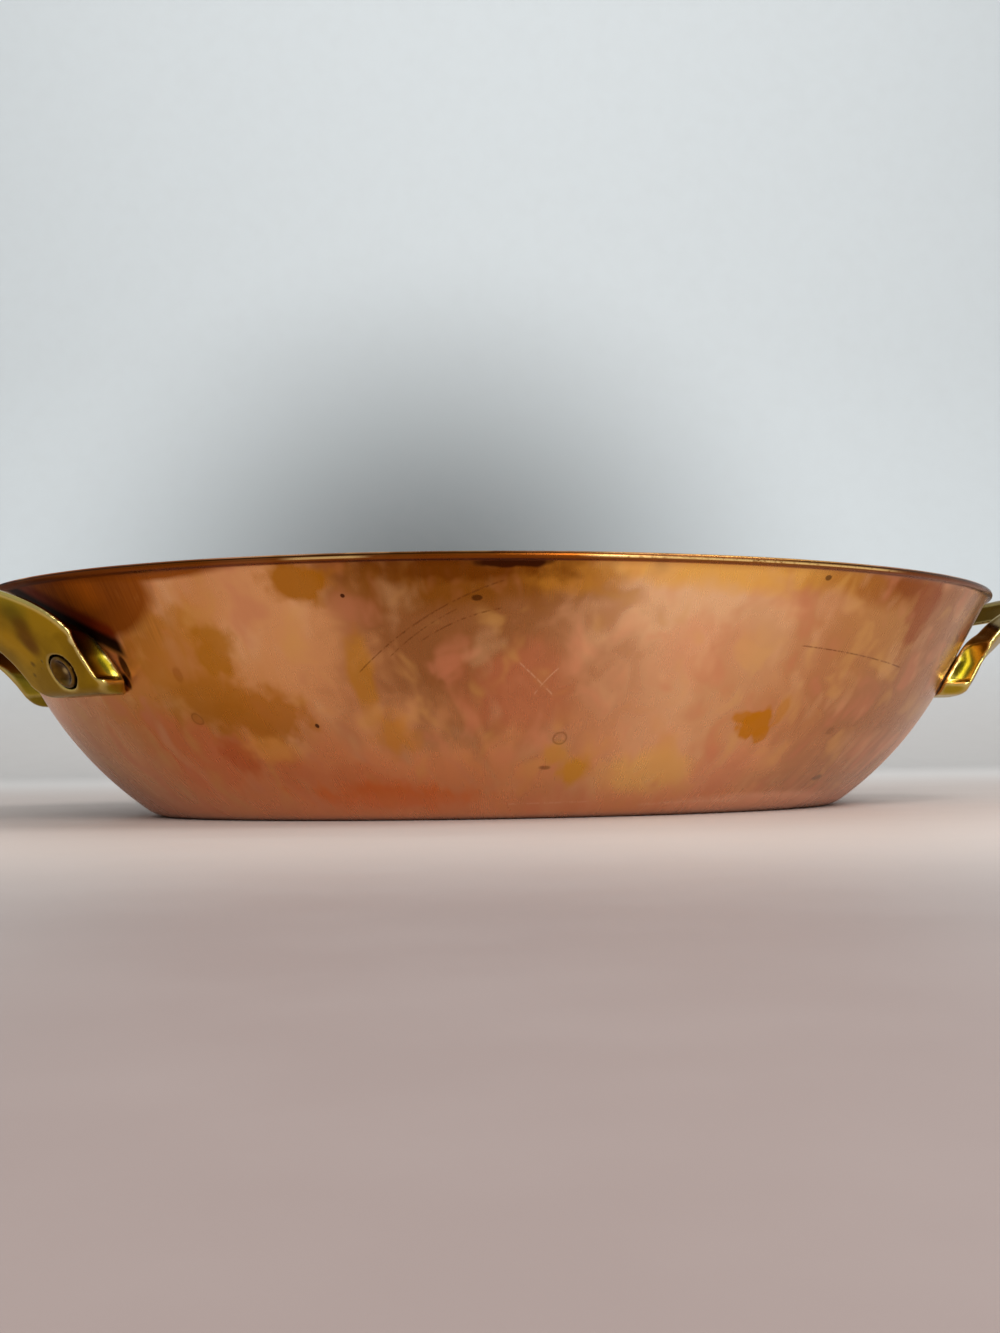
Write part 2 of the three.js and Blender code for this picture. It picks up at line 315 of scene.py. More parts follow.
# %% [markdown]
# ## Finishes
# Each finish is a Principled shader whose colour, roughness and bump follow positions on the pan. Distances
# are in millimetres: `along` runs round the wall from the middle of the front, `height` up from the table.

# %% Helpers for finishes
def tone(shade):
    """A colour as read off a screen, three numbers up to 255, made linear as a shader expects."""
    scaled = [value / 255 for value in shade]
    linear = [value / 12.92 if value <= 0.04045 else ((value + 0.055) / 1.055) ** 2.4 for value in scaled]
    return (*linear, 1.0)


class Finish(Bench):
    """A material with a Principled shader, and the few patterns that the pan's finishes share."""

    def __init__(self, name, shade, **constants):
        self.material = bpy.data.materials.new(name)
        self.colour = tone(shade)
        self.material.use_nodes = True
        super().__init__(self.material.node_tree)
        self.shader = self.tree.nodes["Principled BSDF"]
        for label, value in constants.items():
            self.shader.inputs[label.replace("_", " ").title()].default_value = value
        self.place = self.add("ShaderNodeTexCoord")["Object"]

    def feed(self, label, wire):
        self.tree.links.new(wire.socket, self.shader.inputs[label])

    def noise(self, scale, vector=None, detail=3.0, rough=0.5, warp=0.0):
        return self.add("ShaderNodeTexNoise", {
            "Vector": vector or self.place,
            "Scale": scale,
            "Detail": detail,
            "Roughness": rough,
            "Distortion": warp,
        })["Fac"]

    def stored(self, name):
        return self.add("ShaderNodeAttribute", attribute_name=name)["Fac"]

    def stretch(self, vector, scale):
        return self.add("ShaderNodeVectorMath", {0: vector, 1: scale}, operation="MULTIPLY")

    def step(self, wire, low, high):
        sockets = {"Value": wire, "From Min": low, "From Max": high}
        return self.add("ShaderNodeMapRange", sockets, interpolation_type="SMOOTHSTEP")

    def blend(self, mask, first, second):
        mixed = self.add("ShaderNodeMix", {0: mask, 6: first, 7: second}, data_type="RGBA")
        return Wire(self, mixed.socket.node.outputs[2])

    def paint(self, mask, shade):
        self.colour = self.blend(mask, self.colour, tone(shade))

    def bump(self, height, distance, strength=1.0, under=None):
        sockets = {"Height": height, "Distance": distance, "Strength": strength}
        if under:
            sockets["Normal"] = under
        return self.add("ShaderNodeBump", sockets)

    def done(self, roughness, normal=None):
        self.feed("Base Color", self.colour)
        self.feed("Roughness", roughness)
        if normal:
            self.feed("Normal", normal)
        print("made", self.material.name)


print("finish helpers ready")

# %% [markdown]
# ### Copper
# Copper that has been used and rubbed clean keeps a patchy bloom: salmon where the metal is bare, straw and
# ochre where heat has tinted it, brown where it was left. Noise sets the small mottling. The larger stains
# belong to this one pan, so each is placed as an oval on the unrolled wall, with an edge that noise makes
# wander: broad blooms lie under the mottling and sharper stains over it. A few of these ovals are painted
# light and shade instead, where the wall mirrors bright or shaded stretches of the sheet or a handle, and
# each is marked where it stands. Scratches, and the painted shade behind a handle, are lines drawn the same
# way.

# %% Stains on the copper
# The last colour is painted contact shade, used beside the left lug.
OCHRE, RUST, BROWN, UMBER, LUG_CONTACT_SHADE = (206, 130, 16), (210, 108, 58), (156, 80, 12), (58, 22, 6), (54, 12, 4)

# Each bloom: middle along, middle height, half length, half height, softness, strength, colour.
BLOOM_WANDER = 1.8
BLOOMS = [
    # Painted highlight: here the wall mirrors a brightly lit stretch of the sheet.
    (6, 34, 26, 22, 1.3, 0.85, (240, 192, 146)),
    # Painted shade: here the wall mirrors a shaded stretch of the sheet.
    (-38, 35, 26, 18, 1.2, 0.85, (142, 86, 41)),
    (-102, 26, 24, 20, 0.9, 0.75, (212, 136, 52)),
    (-74, 36, 17, 13, 0.8, 0.65, (232, 166, 110)),
    (-80, 7, 46, 8, 1, 0.7, (230, 146, 94)),
    (-108, 14, 14, 8, 0.8, 0.7, (226, 130, 82)),
    (76, 24, 34, 34, 1, 0.8, (176, 120, 78)),
    (55, 39, 15, 11, 0.8, 0.6, (208, 148, 76)),
    (-27, 25, 11, 8, 0.8, 0.6, (204, 120, 84)),
    (10, 32, 9, 6, 0.9, 0.5, (238, 162, 122)),
    (28, 8.5, 9, 5, 0.9, 0.4, (222, 146, 114)),
    (6, 9, 12, 4, 0.9, 0.6, (240, 190, 104)),
    (34, 27, 28, 13, 1.2, 0.55, (198, 134, 84)),
    (-11, 24, 13, 13, 1.2, 0.5, (186, 118, 78)),
    (20, 46.8, 34, 3.4, 1, 0.8, (238, 176, 74)),
    (54, 46, 22, 4, 1.1, 0.8, (170, 98, 32)),
    (-38, 45.5, 24, 6, 0.9, 0.85, (136, 78, 10)),
]
# Each stain has its own wander between softness and strength.
STAINS = [
    (-98, 30, 11, 10, 0.7, 1.7, 0.6, (200, 130, 44)),
    (-88, 33, 4.4, 5, 0.96, 1.7, 0.75, (190, 120, 24)),
    (-84, 21, 11, 4.6, 0.8, 1.7, 0.8, (194, 120, 34)),
    (-94, 24.5, 8, 4, 0.96, 1.7, 0.7, (194, 122, 38)),
    (-86, 14.5, 7, 2.6, 1.3, 1.7, 0.6, (246, 172, 84)),
    (-94.5, 13.5, 4, 3.6, 0.96, 1.7, 0.75, RUST),
    (-82, 9.5, 6, 3, 1.28, 1.7, 0.35, RUST),
    (-66, 8, 8, 3, 1.28, 1.7, 0.35, RUST),
    (-60, 5, 20, 2.6, 1.12, 1.7, 0.65, (228, 116, 44)),
    (-58, 28, 2.6, 7, 0.9, 1, 0.65, (200, 134, 34)),
    (-54, 17, 4, 3.4, 1.28, 1.7, 0.7, (216, 144, 52)),
    (-66, 44.5, 6.5, 3.2, 0.96, 1.7, 0.9, (178, 108, 12)),
    (-13, 9.5, 3.4, 2.6, 1.12, 1.7, 0.8, (216, 154, 40)),
    (-18, 13, 3, 2, 1.28, 1.7, 0.6, (216, 158, 60)),
    (30.5, 18.2, 4.8, 2.8, 0.5, 1.7, 0.95, OCHRE),
    (33.5, 16.4, 2.2, 1.8, 0.5, 1, 0.8, OCHRE),
    (26.8, 19.8, 3.4, 1.1, 0.8, 1.7, 0.8, OCHRE),
    (36, 21.5, 1.6, 2.4, 0.9, 1, 0.5, OCHRE),
    (68, 42.5, 4.2, 8, 0.96, 1.7, 0.8, (166, 86, 36)),
    (58, 46.5, 6, 2, 1.28, 1.7, 0.85, BROWN),
    (-17, 45, 8, 2.8, 1.28, 1.7, 0.65, (196, 130, 44)),
    (-36, 46.6, 17, 2.4, 1.12, 1.7, 0.85, (112, 56, 6)),
    (-28, 47.3, 7, 0.8, 0.8, 1.7, 0.95, UMBER),
    (-116, 45, 18, 8.5, 0.3, 0.12, 0.95, BROWN),
    (-97, 48.4, 17, 2.2, 0.6, 0.2, 0.95, BROWN),
    (-71, 18.9, 0.5, 0.4, 0.5, 1, 0.9, UMBER),
    (-58.5, 42, 0.4, 0.35, 0.5, 1, 0.9, UMBER),
    (-34.5, 41.3, 0.9, 0.5, 0.6, 1, 0.7, UMBER),
    (-20.5, 10.4, 1.4, 0.4, 0.8, 1, 0.6, (120, 70, 24)),
    (-99.5, 29, 1.1, 1.3, 0.8, 1, 0.35, BROWN),
    (57, 17, 1.4, 0.7, 0.8, 1, 0.4, (140, 90, 50)),
    (70, 7.2, 1.8, 0.6, 0.5, 1, 0.7, (120, 84, 60)),
    # Painted highlight along the foot, where the wall mirrors the lit sheet.
    (56, 2, 36, 2.2, 0.8, 0.5, 0.7, (252, 200, 162)),
    # Painted light between the lip and the left arm, where the wall mirrors the arm's dark back.
    (-124, 45, 12, 4, 0.8, 0.5, 0.8, (206, 112, 22)),
    # Painted contact shade beside the outer end of the left lug.
    (-113.8, 31, 1, 2.2, 0.7, 0.2, 0.9, LUG_CONTACT_SHADE),
    (-115.4, 28.2, 0.9, 1.4, 0.7, 0.2, 0.9, LUG_CONTACT_SHADE),
    (33.5, 46.3, 0.8, 0.5, 0.5, 1, 0.7, UMBER),
]
# Each ring left by a drop: middle along, middle height, half length, half height.
RINGS = [(-100.3, 20.6, 1.4, 1.1), (-17.6, 16.2, 1.5, 1.1)]
# Each scratch, light scuff or band of painted shade: its start, its end, how far its middle bows up, half
# its width. The bands of painted shade have their strength and colour too.
SCRATCHES = [
    ((-59, 28), (-29, 44.5), 1.8, 0.22),
    ((-52, 31), (-38, 39.5), 0.6, 0.18),
    ((-46, 33.5), (-30, 39.5), 0.9, 0.2),
    ((33, 33.6), (72, 30.2), 0.3, 0.2),
]
SCUFFS = [
    ((-27, 30), (-20, 24), 0, 0.3),
    ((-24, 24), (-19, 29), 0.3, 0.25),
    ((8, 2.4), (46, 2.6), 0.4, 0.35),
    ((-30, 3.2), (-6, 3.4), 0, 0.25),
]
# Bands of painted shade behind the left arm, where the copper mirrors the arm's dark back.
ARM_SHADE_BANDS = [
    ((-148, 52.2), (-111, 36), 0, 3.2, 0.8, (120, 24, 6)),
    ((-148, 50), (-111, 34), 0, 2.4, 0.97, (20, 2, 1)),
]
print(len(BLOOMS), "blooms,", len(STAINS), "stains and", len(RINGS), "rings")

# %% [markdown]
# Every mark needs its place on the wall, so one class holds the wall's coordinates, the noise over it and
# the shapes drawn on it. Angles round the pan jump at the middle of its back, so the noise takes a folded
# angle that is the same on both sides of that line, and the place's depth as well.

# %% Patterns on the copper
WALL_MM_PER_RADIAN = 110
MM_PER_METRE = 1000
NOISE_PER_DEPTH = 600


class CopperWall(Finish):
    """The copper's material, with places on the unrolled wall in millimetres."""

    def __init__(self):
        super().__init__("satin_copper", (230, 164, 112), metallic=1)
        x, y, z = self.split(self.place)
        self.along = self.math("ARCTAN2", x / HALF_LENGTH, y / -HALF_WIDTH) * WALL_MM_PER_RADIAN
        self.height = z * MM_PER_METRE
        folded_y = self.math("ABSOLUTE", y) / HALF_WIDTH
        folded_along = self.math("ARCTAN2", x / HALF_LENGTH, folded_y) * WALL_MM_PER_RADIAN
        spot = self.join(folded_along, self.height, self.math("MAXIMUM", y, 0) * NOISE_PER_DEPTH)
        self.broad = self.noise(0.05, spot, detail=2)
        self.mottle = self.noise(0.11, spot, detail=2.5, warp=0.4)
        self.bloom = self.noise(0.13, self.stretch(spot, (1, 0.8, 1)), detail=2.5, warp=0.2)
        self.fine = self.noise(0.8, spot, detail=4, rough=0.65)
        self.brushing = self.noise(1, self.stretch(spot, (2.6, 0.1, 1)))
        self.ragged = self.noise(0.24, spot, detail=2)
        self.torn = self.noise(0.24, self.stretch(spot, (-1, 1, 1)), detail=2)

    def patch(self, along, height, half_along, half_height, soft, wander, drift, climb):
        """An oval on the unrolled wall whose outline wanders, along and up, by a share of its own size."""
        across = (self.along - along) / half_along + (drift - 0.5) * wander
        up = (self.height - height) / half_height + (climb - 0.5) * wander
        reach = self.math("SQRT", across * across + up * up)
        return self.step(reach, 1 + soft / 2, 1 - soft / 2)

    def band(self, start, end, bow, width):
        """A soft line between two places on the wall, bowed up at its middle and tapered at its ends."""
        share = (self.along - start[0]) / (end[0] - start[0])
        line = start[1] + share * (end[1] - start[1]) + share * (1 - share) * (4 * bow)
        across = self.math("ABSOLUTE", self.height - line)
        return self.step(across, width, width * 0.3) * self.step(share * (1 - share), 0, 0.05)

    def scratches(self, lines):
        """Fine lines that noise breaks up, as one mask."""
        broken = self.step(self.fine, 0.38, 0.55)
        return sum(self.band(*line) * broken for line in lines)

    def near(self, wire, middle, far, close):
        """One where a value is close to a middle value, and nothing far from it."""
        return self.step(self.math("ABSOLUTE", wire - middle), far, close)


print("copper patterns ready")

# %% [markdown]
# The colour is built up in layers, as a painter would: bare metal first, then blooms, mottling and stains.

# %% Bare metal, blooms and stains
wall = CopperWall()
wall.paint(wall.step(wall.broad, 0.4, 0.6), (220, 152, 102))
for *shape, strength, shade in BLOOMS:
    mask = wall.patch(*shape, BLOOM_WANDER, wall.mottle, wall.bloom)
    wall.paint(mask * strength, shade)
wall.paint(wall.step(wall.mottle, 0.52, 0.7) * 0.45, (222, 142, 104))
wall.paint(wall.step(wall.bloom, 0.52, 0.72) * 0.3, (240, 188, 138))
wall.paint(wall.step(wall.mottle, 0.46, 0.3) * 0.4, (228, 174, 98))
cloudy = wall.step(wall.bloom + wall.ragged, 0.4, 1) * 0.5 + 0.65
for *shape, strength, shade in STAINS:
    mask = wall.math("MINIMUM", wall.patch(*shape, wall.ragged, wall.torn) * cloudy, 1)
    wall.paint(mask * strength, shade)
for ring in RINGS:
    drop = wall.patch(*ring, 0.5, 1.2, wall.mottle, wall.bloom)
    wall.paint(drop * (1.06 - drop) * 1.8, (124, 70, 20))
# Painted light: the wall grows lighter from 7 mm down, where it mirrors the shaded sheet at its foot.
wall.paint(wall.step(wall.height, 7, 1.5) * 0.5, (236, 150, 104))
print("painted the stains")

# %% [markdown]
# Scratches and the painted shade behind the arm go over the stains, and the lip comes last. Its edge is
# darker, with painted shade at its brink and a painted highlight along its middle in two stretches. Its flat
# top keeps the colour of the metal.

# %% Scratches, painted shade and lip
# Heights in millimetres: the start, middle, brink and top of the lip, each with the run over which it fades.
LIP_START, LIP_MIDDLE, LIP_BRINK, LIP_TOP = (47.5, 47.8), 48.4, (48.6, 48.85), (48.99, 48.93)

scored = wall.scratches(SCRATCHES)
wall.paint(wall.math("MINIMUM", scored, 1) * 0.6, (110, 58, 20))
scuffed = wall.math("MINIMUM", wall.scratches(SCUFFS), 1)
wall.paint(scuffed * 0.28, (252, 208, 168))
brushed = wall.step(wall.along, -92, -102) * wall.step(wall.height, 32, 40)
wall.paint((wall.brushing - 0.35) * (brushed * 0.9 + 0.03), (96, 42, 8))
# Painted shade behind the left arm.
for *line, strength, shade in ARM_SHADE_BANDS:
    wall.paint(wall.band(*line) * strength, shade)

below_top = wall.step(wall.height, *LIP_TOP)
lip = wall.step(wall.height, *LIP_START) * below_top
wall.paint(lip * 0.9, (122, 60, 12))
# Painted highlight: a thin bright line along the middle of the lip, in two stretches.
glint = wall.near(wall.height, LIP_MIDDLE, 0.26, 0.1)
lip_highlight_run = wall.near(wall.along, 18, 36, 26) * wall.step(wall.fine, 0.3, 0.5)
lip_highlight_spot = wall.near(wall.along, -60, 9, 4)
bright = glint * wall.math("MAXIMUM", lip_highlight_run * 0.9, lip_highlight_spot * 0.8)
wall.paint(bright, (255, 216, 140))
# Painted shade on the brink of the lip, below its flat top.
brink = wall.step(wall.height, *LIP_BRINK) * below_top
wall.paint(brink * 0.95, (48, 22, 6))

matt = wall.step(wall.along, -98, -108) * wall.step(wall.height, 25, 34)
roughness = 0.2 + wall.mottle * 0.12 + wall.brushing * 0.03 + matt * 0.35
dented = wall.bump(wall.broad, 0.5 * MM, 0.25)
cut = wall.bump(scored, -0.03 * MM, 1, dented)
wall.done(roughness, wall.bump(wall.brushing, 0.02 * MM, 0.06, cut))

# %% [markdown]
# ### Tin
# Wiped tin is dull, and streaked round the dish where the cloth went. Noise that is stretched along the pan
# draws the streaks, and broader noise the clouds.

# %% Tin finish
tin = Finish("wiped_tin", (196, 194, 188), metallic=1)
streaks = tin.noise(1, tin.stretch(tin.place, (30, 90, 240)), detail=4, warp=0.6)
clouds = tin.noise(40, detail=4)
tin.paint(tin.step(streaks, 0.3, 0.7), (222, 220, 214))
tin.paint(tin.step(clouds, 0.5, 0.7) * 0.5, (178, 172, 160))
tin.done(0.4 + streaks * 0.2, tin.bump(streaks, 0.06 * MM, 0.5))

# %% [markdown]
# ### Brass
# The handles are cast and polished, so they are the smoothest metal here, with a few pits left from the
# mould. Their sides and backs are painted darker than their faces, as shade where they face the copper wall.
# A casting has no flat side to draw on, so each painted spot of reflection, shade or highlight, and each
# pit, is a ball in space that colours the metal inside it.

# %% Brass finish
# Heights over which the painted shade on the strap's sides grows darker towards the top, and the sides are
# painted paler towards the foot.
SIDE_DARKENS, SIDE_PALES = (35, 38), (29.2, 27.2)
# Spots on the left handle: place, reach and colour. The first seven are painted reflections on its polished
# face, running from the inner edge of its front arm to the outer edge; the next two are dark pits by the
# rivet, and the last two are a painted highlight on its ridge.
BRASS_SHEEN_AND_PITS = [
    ((-115, -33.7, 36.9), 3.6, (200, 152, 14)),
    ((-111.8, -33.5, 34), 3, (196, 150, 16)),
    ((-115.6, -44.2, 44.2), 3.6, (170, 148, 34)),
    ((-114.4, -41.5, 41.4), 3, (116, 98, 14)),
    ((-112.9, -40.5, 39.2), 2.2, (110, 72, 8)),
    ((-111.7, -38.5, 37), 2.6, (112, 66, 6)),
    ((-110.6, -37.5, 35.1), 2, (116, 70, 8)),
    ((-110.4, -33.3, 32), 0.7, (96, 70, 20)),
    ((-110, -30.9, 29.9), 0.6, (90, 64, 18)),
    ((-103.5, -48, 35.8), 1, (255, 238, 170)),
    ((-102.2, -47.9, 34.2), 0.8, (255, 238, 170)),
]
# Painted shade darkens the upper end of each lug's hollow, and a painted highlight lights its lower corner.
# Each spot has a place in the quarter of the pan where x and y are positive, a reach and a colour.
HOLLOW_SHADE_AND_HIGHLIGHT = [
    ((99, 45, 35), 4.6, (84, 66, 8)),
    ((97.2, 45.3, 32.3), 2.8, (92, 82, 10)),
    ((95, 45.2, 29), 1.4, (214, 198, 84)),
]

brass = Finish("polished_brass", (176, 138, 24), metallic=1, specular_tint=(1, 0.92, 0.72, 1))
clouds = brass.noise(120, detail=4, warp=0.5)
grain = brass.noise(900)
pits = brass.step(brass.noise(420, detail=1), 0.27, 0.2)
edge = brass.stored("edge")
outward = brass.stored("outward")
brass.paint(brass.step(clouds, 0.35, 0.65), (152, 116, 12))
spot = brass.stretch(brass.place, (MM_PER_METRE,) * 3)
height = brass.split(spot)[2]
# Painted shade on the strap's sides, where they face the copper wall, darker higher up and paler at the
# foot.
side = brass.step(outward, 0.85, 0.3)
brass.paint(side * 0.6, (128, 120, 40))
brass.paint(side * brass.step(height, *SIDE_DARKENS) * 0.6, (96, 66, 20))
brass.paint(side * brass.step(height, *SIDE_PALES) * 0.7, (186, 160, 46))
# Painted shade on the back of the strap, which faces the wall.
brass.paint(brass.step(outward, 0.1, -0.5) * 0.75, (92, 62, 18))
quarter = brass.add("ShaderNodeVectorMath", {0: spot}, operation="ABSOLUTE")
balls = [(spot, *ball) for ball in BRASS_SHEEN_AND_PITS] + [(quarter, *ball) for ball in HOLLOW_SHADE_AND_HIGHLIGHT]
for origin, middle, reach, shade in balls:
    away = brass.add("ShaderNodeVectorMath", {0: origin, 1: middle}, operation="DISTANCE")
    near = away["Value"] / reach + (clouds - 0.5) * 0.8
    brass.paint(brass.step(near, 1.5, 0.3) * 0.8, shade)
brass.paint(pits * 0.7, (80, 54, 16))
# Painted shade in the inner corners and a painted highlight on the outer edges.
brass.paint(brass.step(edge, -0.15, -0.8) * 0.7, (70, 46, 10))
brass.paint(brass.step(edge, 0.15, 0.75) * 0.45, (244, 222, 146))
pitted = brass.bump(pits, -0.1 * MM, 1, brass.bump(clouds, 0.3 * MM, 0.15))
brass.done(0.17 + clouds * 0.1 + grain * 0.05, pitted)

# %% [markdown]
# ### Rivet brass
# The rivets were hammered in the same brass and never polished again, so they are browner. The dish in each
# head is dark, its middle has a painted highlight, and dirt lies round its edge. The mesh stores how far
# each point lies from the rivet's axis, as a share of the head's radius.

# %% Rivet finish
hammered = Finish("hammered_rivet_brass", (132, 100, 40), metallic=1)
clouds = hammered.noise(500, detail=4)
from_axis = hammered.stored("from_axis")
hammered.paint(hammered.step(clouds, 0.35, 0.65), (96, 68, 24))
hammered.paint(hammered.step(from_axis, 0.8, 0.5) * 0.75, (70, 46, 12))
# Painted highlight in the middle of the dish.
hammered.paint(hammered.step(from_axis, 0.3, 0.05) * 0.8, (196, 168, 108))
hammered.paint(hammered.step(from_axis, 0.93, 0.98) * 0.9, (34, 18, 6))
hammered.done(0.16 + clouds * 0.12, hammered.bump(clouds, 0.1 * MM, 0.4))

# %% [markdown]
# ## The copper shell
# The profile starts under the middle of the base, turns a tight corner, bows gently up the sloping wall,
# goes over the rounded lip and comes back down inside. Each curve has enough points for a clean reflection,
# because polished metal shows every facet.

# %% Copper shell
CORNER_STEPS = 12
CURVE_STEPS = 24
WALL_STEPS = 20
LIP_STEPS = 10
BASE_STEPS = 10
RING_STEPS = 288


def wall_arc(radius, depth, start, end, steps):
    """Part of the wall's profile that turns from one slope to another, a depth inside the outer face."""
    turns = np.linspace(start, end, steps + 1)
    insets = CORNER_TOP_INSET + radius * sin(BASE_CORNER_TURN) - (radius - depth) * np.sin(turns)
    heights = CORNER_TOP + radius * cos(BASE_CORNER_TURN) - (radius - depth) * np.cos(turns)
    return np.stack([insets, 0 * turns, heights], 1)


def wall_profile(depth, top):
    """Rings of the base, its corner and the wall up to a height, a depth inside the outer face."""
    shares = np.linspace(1, 0, BASE_STEPS + 1)[:-1]
    base = np.stack([0 * shares + BASE_INSET, shares, 0 * shares + depth], 1)
    corner = wall_arc(BASE_CORNER_RADIUS, depth, 0, BASE_CORNER_TURN, CORNER_STEPS)
    curve = wall_arc(WALL_CURVE_RADIUS, depth, BASE_CORNER_TURN, WALL_TURN, CURVE_STEPS)[1:]
    inset, _, height = curve[-1]
    rise = np.linspace(0, top - height, WALL_STEPS + 1)[1:]
    slope = np.stack([inset - rise * tan(WALL_SLOPE), 0 * rise, height + rise], 1)
    return np.concatenate([base, corner, curve, slope])


def lip_profile():
    radius = LIP_EDGE / 2
    turns = np.linspace(-pi / 2, pi / 2, LIP_STEPS + 1)
    heights = PAN_HEIGHT - radius + radius * np.sin(turns)
    return np.stack([radius - radius * np.cos(turns), 0 * turns, heights], 1)


outside = wall_profile(0, PAN_HEIGHT - LIP_EDGE - LIP_COVE)
inside = wall_profile(COPPER_THICKNESS, PAN_HEIGHT)
shell_profile = np.concatenate([outside, lip_profile(), inside[::-1]])
shell = turn_piece("copper_shell", shell_profile, HALF_LENGTH, HALF_WIDTH, RING_STEPS, wall.material)

# %% [markdown]
# ## The tin lining
# Tin is wiped on as a thin coat, so the lining is the same wall again, a little further in, stopping just
# below the rim where the bare copper edge shows.

# %% Tin lining
LINING_FACE = 2.4 * MM
BARE_EDGE = 0.9 * MM
LINING_TOP = PAN_HEIGHT - BARE_EDGE

coat_face = wall_profile(LINING_FACE, LINING_TOP)
coat = np.concatenate([wall_profile(COPPER_THICKNESS, LINING_TOP), coat_face[::-1]])
lining = turn_piece("tin_coat", coat, HALF_LENGTH, HALF_WIDTH, RING_STEPS, tin.material)

# %% [markdown]
# ## The brass handles
# Each handle is one casting: two thick lugs that follow the wall, and a flat strap that leaves them, bends
# outward and closes in a loop. It is easiest to draw on the unrolled wall, as distances along it, up its
# slope and out of its face, and then wrap it round the pan. Sections are lofted along the strap.

# %% Handle sizes
LUG_HEIGHT = 33 * MM
LUG_SPREAD = 39 * MM
LUG_THICKNESS = 5.9 * MM
LUG_BELOW_RIVET = 8.4 * MM
LUG_OUTER_REACH = 10.6 * MM
LUG_INNER_REACH = 14.6 * MM
LUG_CORNER = 3 * MM
TOE_CORNER = 1.6 * MM
FOOT_ROUND = 1.8 * MM
SHOULDER = (6.7 * MM, 9.2 * MM)
ARM = (-2 * MM, 19.4 * MM)
HAUNCH = (-18.5 * MM, 31.5 * MM)
SHOULDER_INNER_REACH = 16 * MM
GRIP_INNER_HEIGHT = 27 * MM
GRIP_WIDTH = 12 * MM
STRAP_THICKNESS = 4.2 * MM
EDGE_ROUND = 0.9 * MM
BACK_NARROWING = 4.4 * MM
BACK_CURVE = 3
BEND_ANGLE = radians(30)
BEND_START = 2.1 * MM
BEND_BOW = 0.01 / MM
BEND_SOFTNESS = 20 * MM
SEAT_GAP = 0.15 * MM
LUG_INSET = LIP_OVERHANG + (PAN_HEIGHT - LUG_HEIGHT) * tan(WALL_SLOPE)

RING_SAMPLES = 1441
ring_turns = np.linspace(0, pi, RING_SAMPLES)
ring = inset_point(ring_turns, LUG_INSET, LUG_HEIGHT)
ring_lengths = np.concatenate([[0], np.cumsum(np.linalg.norm(np.diff(ring, axis=0), axis=1))])


def on_wall(along, up, out):
    """Place at the right end: along the wall from the long axis, up its slope from the rivets, out of it."""
    along, up, out = np.broadcast_arrays(along, up, out)
    turn = np.sign(along) * np.interp(np.abs(along), ring_lengths, ring_turns)
    reach = up * sin(WALL_SLOPE) + out * cos(WALL_SLOPE)
    rise = up * cos(WALL_SLOPE) - out * sin(WALL_SLOPE)
    return inset_point(turn, LUG_INSET - reach, LUG_HEIGHT + rise)


def bend_rise(along, up):
    """How far the strap has bent away from the wall."""
    past = up - BEND_START - BEND_BOW * along * along
    soft = np.clip(past + BEND_SOFTNESS, 0, 2 * BEND_SOFTNESS) ** 2 / (4 * BEND_SOFTNESS)
    return (soft + np.maximum(past - BEND_SOFTNESS, 0)) * tan(BEND_ANGLE)


print(f"lugs sit {LUG_INSET / MM:.1f} mm inside the rim")

# %% [markdown]
# The outer edge of the strap is one smooth curve through the lug, shoulder, arm and crown. The inner edge
# runs straight up the lug and turns into half an oval. A Catmull-Rom curve passes through its points, so
# measured places stay put.

# %% Strap edges
def smooth_curve(points, count):
    points = np.asarray(points)
    places = np.linspace(0, len(points) - 1, count)
    result = []
    for place in places:
        index = min(int(place), len(points) - 2)
        share = place - index
        nearby = np.clip(np.arange(index - 1, index + 3), 0, len(points) - 1)
        before, start, end, after = points[nearby]
        leave, arrive = (end - before) / 2, (after - start) / 2
        result.append(
            (2 * start - 2 * end + leave + arrive) * share**3
            + (3 * end - 3 * start - 2 * leave - arrive) * share**2
            + leave * share
            + start
        )
    return np.array(result)


FOOT = -LUG_BELOW_RIVET
ANKLE = FOOT + LUG_CORNER
STATIONS = 64
climb = [
    (LUG_SPREAD + LUG_OUTER_REACH, ANKLE),
    *[(LUG_SPREAD + reach, up) for reach, up in (SHOULDER, ARM, HAUNCH)],
]
crown = (0, GRIP_INNER_HEIGHT + GRIP_WIDTH)
outline = smooth_curve([*climb, crown, *[(-x, y) for x, y in reversed(climb)]], 2 * STATIONS + 1)
outer_edge = np.concatenate([[(LUG_SPREAD + LUG_OUTER_REACH - TOE_CORNER, FOOT)], outline[: STATIONS + 1]])

lug_count = STATIONS // 4
inner_ankle = np.array((LUG_SPREAD - LUG_INNER_REACH, ANKLE))
throat = np.array((LUG_SPREAD - SHOULDER_INNER_REACH, SHOULDER[1]))
lug_line = inner_ankle + np.linspace(0, 1, lug_count + 1)[:, None] * (throat - inner_ankle)
arch_turns = np.linspace(0, pi / 2, STATIONS - lug_count + 1)[1:]
arch = np.stack([
    throat[0] * np.cos(arch_turns),
    throat[1] + (GRIP_INNER_HEIGHT - throat[1]) * np.sin(arch_turns),
], 1)
inner_edge = np.concatenate([[(LUG_SPREAD - LUG_INNER_REACH + LUG_CORNER, FOOT)], lug_line, arch])
print(f"strap edges: {len(outer_edge)} and {len(inner_edge)} places")

# %% [markdown]
# A section has a flat face, a flat back that grows narrower higher up, and rounded edges. Lofting joins
# each section to the next and closes the two feet.

# %% Strap sections
FACE_STEPS = 8
ROUND_STEPS = 4


